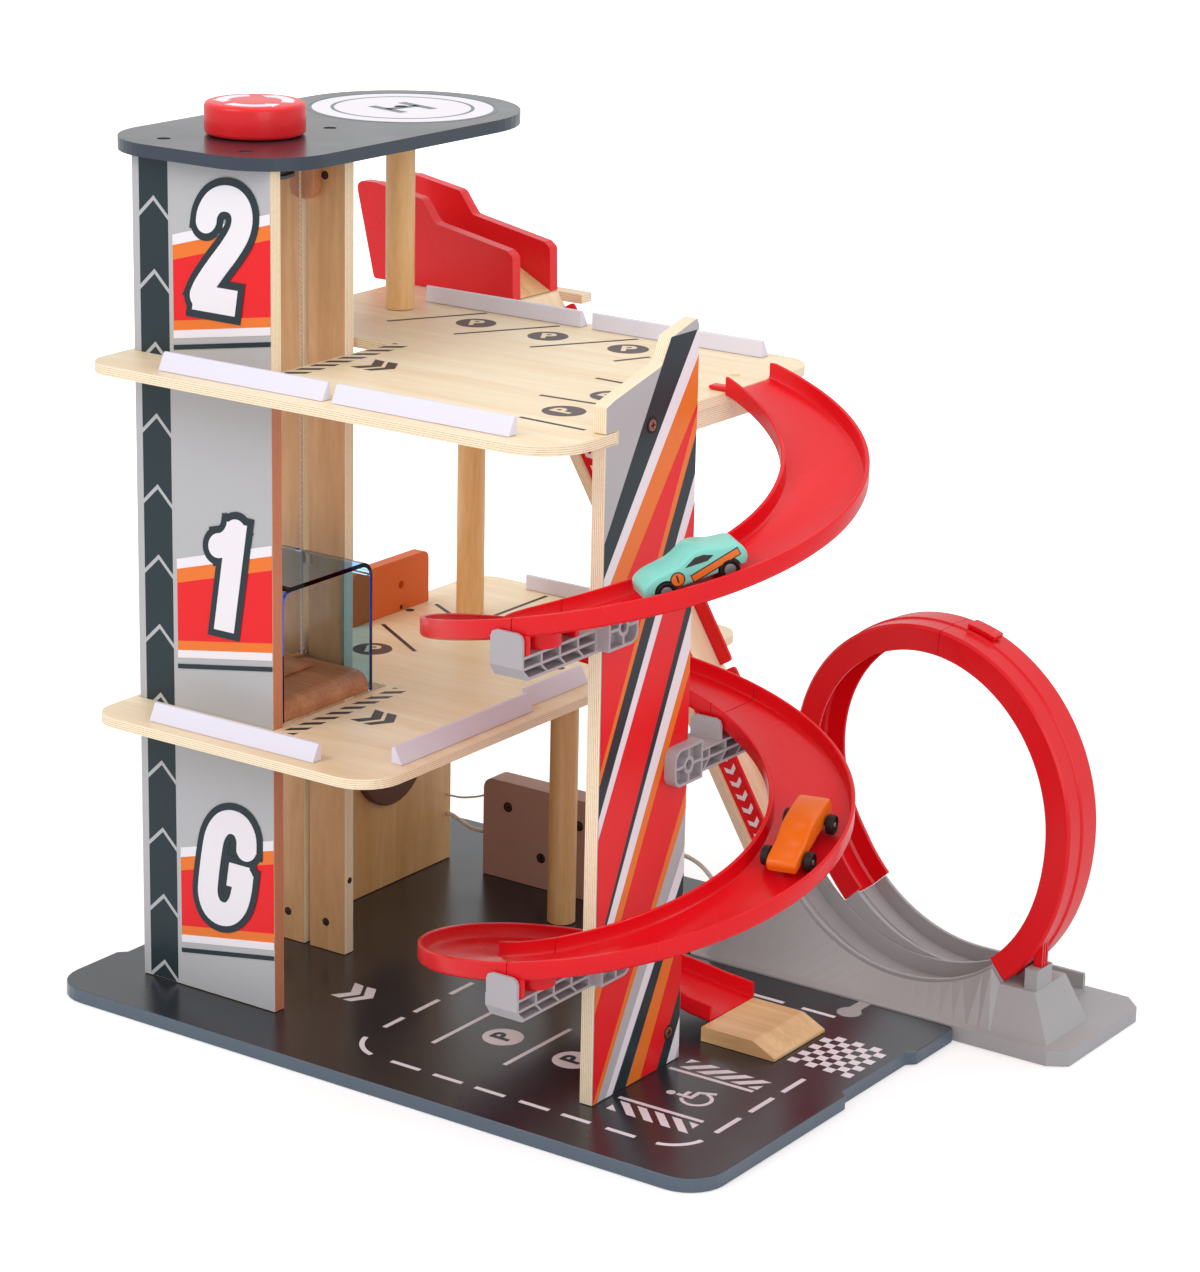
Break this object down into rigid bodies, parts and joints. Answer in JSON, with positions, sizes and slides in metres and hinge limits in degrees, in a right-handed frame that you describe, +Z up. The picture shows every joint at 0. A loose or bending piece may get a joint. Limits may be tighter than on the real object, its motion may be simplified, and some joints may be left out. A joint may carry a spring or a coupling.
{
  "type": "toy parking garage",
  "caption": "Plywood toy parking garage with a lift tower and turning knob, two decks, a spiral car track, a steep launch ramp and a vertical loop on a keyed base",
  "frame": {"origin": "Centre of the base board's underside, on the surface that the toy stands on", "axes": "+X runs to the right along the board's front edge, +Y to the back, +Z up"},
  "size_m": [0.5772, 0.4358, 0.5713],
  "materials": {
    "birch_plywood": "layered birch plywood, lacquered",
    "beech": "turned or cut beech, lacquered",
    "charcoal_paint": "painted plywood",
    "red_paint": "painted plywood",
    "red_plastic": "moulded plastic, glossy",
    "grey_plastic": "moulded plastic, fine texture",
    "white_paint": "painted wood",
    "orange_paint": "painted plywood",
    "mauve_paint": "painted wood",
    "salmon_paint": "painted wood",
    "blue_acrylic": "clear tinted acrylic",
    "turquoise_plastic": "moulded plastic",
    "orange_plastic": "moulded plastic",
    "black_plastic": "moulded plastic",
    "white_cord": "braided cord",
    "dark_plastic": "moulded plastic"
  },
  "bodies": {
    "garage": {"tower_front_panel": "birch_plywood", "tower_back_board_left": "birch_plywood", "tower_back_board_right": "birch_plywood", "floor_1": "birch_plywood", "floor_2": "birch_plywood", "floor_2_underplate": "birch_plywood", "pillar": "birch_plywood", "ground_panel": "birch_plywood", "ramp_deck": "birch_plywood", "post_ground": "beech", "post_first": "beech", "post_second": "beech", "launcher_deck": "beech", "finish_block": "beech", "base_board": "charcoal_paint", "roof": "charcoal_paint", "launcher_wall_front": "red_paint", "launcher_wall_back": "red_paint", "ramp_rail_near": "red_plastic", "ramp_rail_far_upper": "red_plastic", "ramp_rail_far_lower": "red_plastic", "track_segment_1": "red_plastic", "track_segment_2": "red_plastic", "track_segment_3": "red_plastic", "track_segment_4": "red_plastic", "loop_right": "red_plastic", "loop_left": "red_plastic", "loop_clip": "red_plastic", "bracket_upper": "grey_plastic", "bracket_middle": "grey_plastic", "bracket_lower": "grey_plastic", "loop_base": "grey_plastic", "kerb_1_front": "white_paint", "kerb_1_side_front": "white_paint", "kerb_1_side_back": "white_paint", "kerb_1_rear": "white_paint", "kerb_2_front_left": "white_paint", "kerb_2_front_right": "white_paint", "kerb_2_rear_left": "white_paint", "kerb_2_rear_right": "white_paint", "service_panel": "orange_paint", "station_block": "mauve_paint", "cord_guide": "salmon_paint", "car_upper_body": "turquoise_plastic", "car_lower_body": "orange_plastic", "station_string": "white_cord", "station_hose": "white_cord", "station_lead": "white_cord", "cord_lead": "white_cord", "lift_cord": "white_cord"},
    "knob": {"lift_knob": "red_paint", "lift_spindle": "dark_plastic"},
    "cabin": {"cabin_hood": "blue_acrylic", "cabin_floor": "beech", "lift_runner": "beech"},
    "turning_disc": {"wall_disc": "mauve_paint"},
    "upper_car_front_wheels": {"car_upper_wheels_front": "black_plastic"},
    "upper_car_rear_wheels": {"car_upper_wheels_rear": "black_plastic"},
    "lower_car_front_wheels": {"car_lower_wheels_front": "black_plastic"},
    "lower_car_rear_wheels": {"car_lower_wheels_rear": "black_plastic"}
  },
  "joints": [
    {"name": "lift_travel", "type": "slide", "parent": "garage", "child": "cabin", "axis": [0, 0, 1], "range_m": [-0.1874, 0.2233], "deforming": ["lift_cord"]},
    {"name": "knob_turn", "type": "hinge", "parent": "garage", "child": "knob", "pos_m": [-0.1635, -0.099, 0.561], "axis": [0, 0, 1], "range_deg": [-540, 642]},
    {"name": "disc_turn", "type": "hinge", "parent": "garage", "child": "turning_disc", "pos_m": [-0.1854, 0.062, 0.105], "axis": [1, 0, 0], "continuous": true},
    {"name": "upper_car_front_axle", "type": "hinge", "parent": "garage", "child": "upper_car_front_wheels", "pos_m": [0.19522, -0.1804, 0.34809], "axis": [-0.7705, 0.6374, 0], "continuous": true},
    {"name": "upper_car_rear_axle", "type": "hinge", "parent": "garage", "child": "upper_car_rear_wheels", "pos_m": [0.21833, -0.15247, 0.35949], "axis": [-0.7705, 0.6374, 0], "continuous": true},
    {"name": "lower_car_front_axle", "type": "hinge", "parent": "garage", "child": "lower_car_front_wheels", "pos_m": [0.23394, -0.09691, 0.17197], "axis": [-0.9786, -0.2059, 0], "continuous": true},
    {"name": "lower_car_rear_axle", "type": "hinge", "parent": "garage", "child": "lower_car_rear_wheels", "pos_m": [0.22648, -0.06144, 0.18337], "axis": [-0.9786, -0.2059, 0], "continuous": true}
  ],
  "couplings": [
    {"joint": "knob_turn", "follows": "lift_travel", "rad_per_m": 50}
  ]
}
